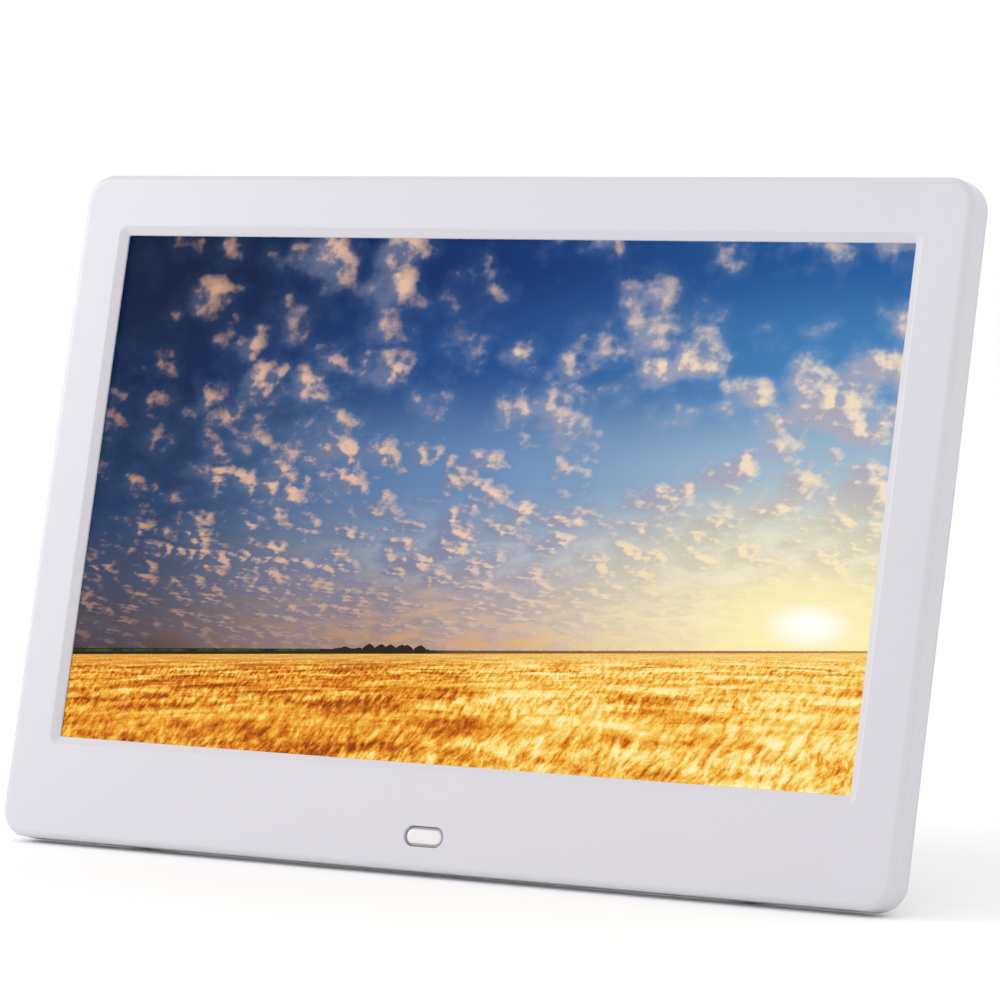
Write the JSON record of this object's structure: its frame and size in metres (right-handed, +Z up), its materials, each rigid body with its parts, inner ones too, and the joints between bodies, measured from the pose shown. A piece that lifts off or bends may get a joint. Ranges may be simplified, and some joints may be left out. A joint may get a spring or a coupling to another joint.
{
  "type": "digital photo frame",
  "caption": "Wide-screen digital picture frame in a slim white housing that leans back on a fold-out leg, with press buttons, side sockets and keyholes on its back.",
  "frame": {"origin": "under the middle of the footprint, on the plane that the frame stands on", "axes": "+X to the right seen from the front, -Y towards the viewer, +Z up"},
  "size_m": [0.25, 0.0608, 0.1622],
  "materials": {
    "bezel_plastic": "satin white",
    "cover_plastic": "fine grained white",
    "button_plastic": "satin light grey",
    "lens_plastic": "milky infrared window",
    "component_epoxy": "moulded black",
    "board_resin": "green solder mask",
    "foam_gasket": "black foam",
    "panel_steel": "pressed sheet",
    "screen_glass": "lit picture behind a matt polariser",
    "film_plastic": "diffusing film",
    "guide_acrylic": "clear acrylic",
    "led_strip_resin": "flexible strip",
    "ribbon_film": "flat ribbon",
    "screw_steel": "plated",
    "foot_rubber": "soft",
    "ferrite": "ferrite",
    "can_aluminium": "drawn can",
    "socket_nylon": "moulded",
    "cell_steel": "coin cell can",
    "socket_steel": "plated shell",
    "speaker_basket": "moulded",
    "speaker_paper": "pressed pulp",
    "magnet_metal": "plated magnet",
    "lead_sleeve_red": "sleeve",
    "lead_sleeve_white": "sleeve",
    "washer_brass": "turned"
  },
  "bodies": {
    "housing": {"front_bezel": "bezel_plastic", "ir_window": "lens_plastic", "ir_receiver": "component_epoxy", "ir_board": "board_resin", "screen_gasket": "foam_gasket", "panel_frame": "panel_steel", "display_panel": "screen_glass", "diffuser_films": "film_plastic", "light_guide": "guide_acrylic", "led_strip": "led_strip_resin", "panel_tray": "panel_steel", "panel_driver_board": "board_resin", "panel_ribbon": "ribbon_film", "rear_cover": "cover_plastic", "cover_screws": "screw_steel", "rubber_feet": "foot_rubber", "main_board": "board_resin", "board_screws": "screw_steel", "processor": "component_epoxy", "memory_chips": "component_epoxy", "inductors": "ferrite", "capacitors": "can_aluminium", "wire_sockets": "socket_nylon", "clock_cell_holder": "component_epoxy", "clock_cell": "cell_steel", "card_socket": "socket_steel", "usb_socket": "socket_steel", "mini_usb_socket": "socket_steel", "headphone_socket": "component_epoxy", "power_inlet": "component_epoxy", "button_board": "board_resin", "button_board_screws": "screw_steel", "switch_housings": "component_epoxy", "speaker_frame_left": "speaker_basket", "speaker_frame_right": "speaker_basket", "speaker_cone_left": "speaker_paper", "speaker_cone_right": "speaker_paper", "speaker_magnet_left": "magnet_metal", "speaker_magnet_right": "magnet_metal", "speaker_lead_left": "lead_sleeve_red", "speaker_lead_right": "lead_sleeve_red", "button_lead": "lead_sleeve_white", "receiver_lead": "lead_sleeve_white", "hinge_pin": "screw_steel", "hinge_washers": "washer_brass"},
    "leg": {"stand_leg": "cover_plastic", "leg_foot": "foot_rubber"},
    "power_button": {"power_button": "button_plastic"},
    "menu_button": {"menu_button": "button_plastic"},
    "exit_button": {"exit_button": "button_plastic"},
    "left_button": {"left_button": "button_plastic"},
    "up_button": {"up_button": "button_plastic"},
    "down_button": {"down_button": "button_plastic"},
    "right_button": {"right_button": "button_plastic"},
    "enter_button": {"enter_button": "button_plastic"}
  },
  "joints": [
    {"name": "leg_fold", "type": "hinge", "parent": "housing", "child": "leg", "pos_m": [0, 0.00784, 0.09142], "axis": [1, 0, 0], "range_deg": [-25.97, 0]},
    {"name": "power_press", "type": "slide", "parent": "housing", "child": "power_button", "axis": [0, -0.9738, 0.2275], "range_m": [0, 0.0005], "stiffness_N_per_m": 2400},
    {"name": "menu_press", "type": "slide", "parent": "housing", "child": "menu_button", "axis": [0, -0.9738, 0.2275], "range_m": [0, 0.0005], "stiffness_N_per_m": 2400},
    {"name": "exit_press", "type": "slide", "parent": "housing", "child": "exit_button", "axis": [0, -0.9738, 0.2275], "range_m": [0, 0.0005], "stiffness_N_per_m": 2400},
    {"name": "left_press", "type": "slide", "parent": "housing", "child": "left_button", "axis": [0, -0.9738, 0.2275], "range_m": [0, 0.0005], "stiffness_N_per_m": 2400},
    {"name": "up_press", "type": "slide", "parent": "housing", "child": "up_button", "axis": [0, -0.9738, 0.2275], "range_m": [0, 0.0005], "stiffness_N_per_m": 2400},
    {"name": "down_press", "type": "slide", "parent": "housing", "child": "down_button", "axis": [0, -0.9738, 0.2275], "range_m": [0, 0.0005], "stiffness_N_per_m": 2400},
    {"name": "right_press", "type": "slide", "parent": "housing", "child": "right_button", "axis": [0, -0.9738, 0.2275], "range_m": [0, 0.0005], "stiffness_N_per_m": 2400},
    {"name": "enter_press", "type": "slide", "parent": "housing", "child": "enter_button", "axis": [0, -0.9738, 0.2275], "range_m": [0, 0.0005], "stiffness_N_per_m": 2400}
  ]
}
